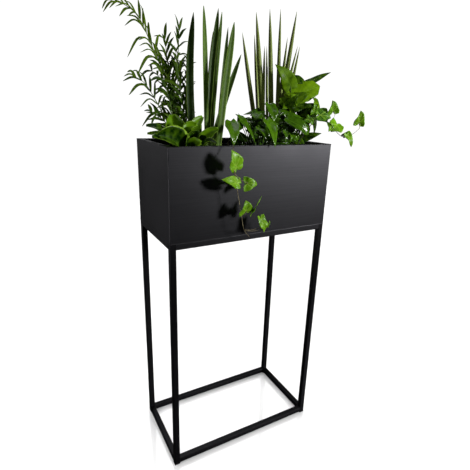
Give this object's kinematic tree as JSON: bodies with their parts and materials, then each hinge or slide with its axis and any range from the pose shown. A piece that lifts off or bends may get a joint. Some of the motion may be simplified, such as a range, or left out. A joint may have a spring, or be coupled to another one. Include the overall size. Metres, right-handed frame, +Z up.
{
  "type": "raised planter on legs",
  "caption": "Tall black steel planter: a slim open square-tube stand holding a sheet box with a lift-out liner of soil and mixed foliage plants.",
  "frame": {"origin": "on the floor, under the middle of the box", "axes": "+Z up, +X to the right along the long front, +Y towards the back"},
  "size_m": [0.8525, 0.4221, 1.6001],
  "materials": {
    "powder_coat": "satin",
    "black_plastic": "matte",
    "liner_plastic": "matte",
    "potting_mix": "matte",
    "palm_leaf": "satin",
    "snake_leaf": "satin",
    "spear_leaf": "satin",
    "rosette_leaf": "satin",
    "pothos_leaf": "gloss",
    "round_leaf": "satin",
    "ivy_leaf": "satin"
  },
  "bodies": {
    "stand": {"post_front_left": "powder_coat", "post_front_right": "powder_coat", "post_back_right": "powder_coat", "post_back_left": "powder_coat", "base_rail_front": "powder_coat", "base_rail_back": "powder_coat", "base_rail_left": "powder_coat", "base_rail_right": "powder_coat", "support_rail_front": "powder_coat", "support_rail_back": "powder_coat", "support_rail_left": "powder_coat", "support_rail_right": "powder_coat", "panel_front": "powder_coat", "panel_back": "powder_coat", "panel_left": "powder_coat", "panel_right": "powder_coat", "floor_sheet": "powder_coat", "foot_front_left": "black_plastic", "foot_front_right": "black_plastic", "foot_back_right": "black_plastic", "foot_back_left": "black_plastic", "cap_front_left": "black_plastic", "cap_front_right": "black_plastic", "cap_back_right": "black_plastic", "cap_back_left": "black_plastic"},
    "planting": {"liner": "liner_plastic", "soil": "potting_mix", "palm": "palm_leaf", "snake_plant": "snake_leaf", "spear_plant": "spear_leaf", "rosette_plant": "rosette_leaf", "pothos": "pothos_leaf", "round_leaf_plant": "round_leaf", "ivy_right": "ivy_leaf", "ivy_front": "ivy_leaf"}
  },
  "joints": [
    {"name": "liner_lift", "type": "slide", "parent": "stand", "child": "planting", "axis": [0, 0, 1], "range_m": [0, 0.32]}
  ]
}
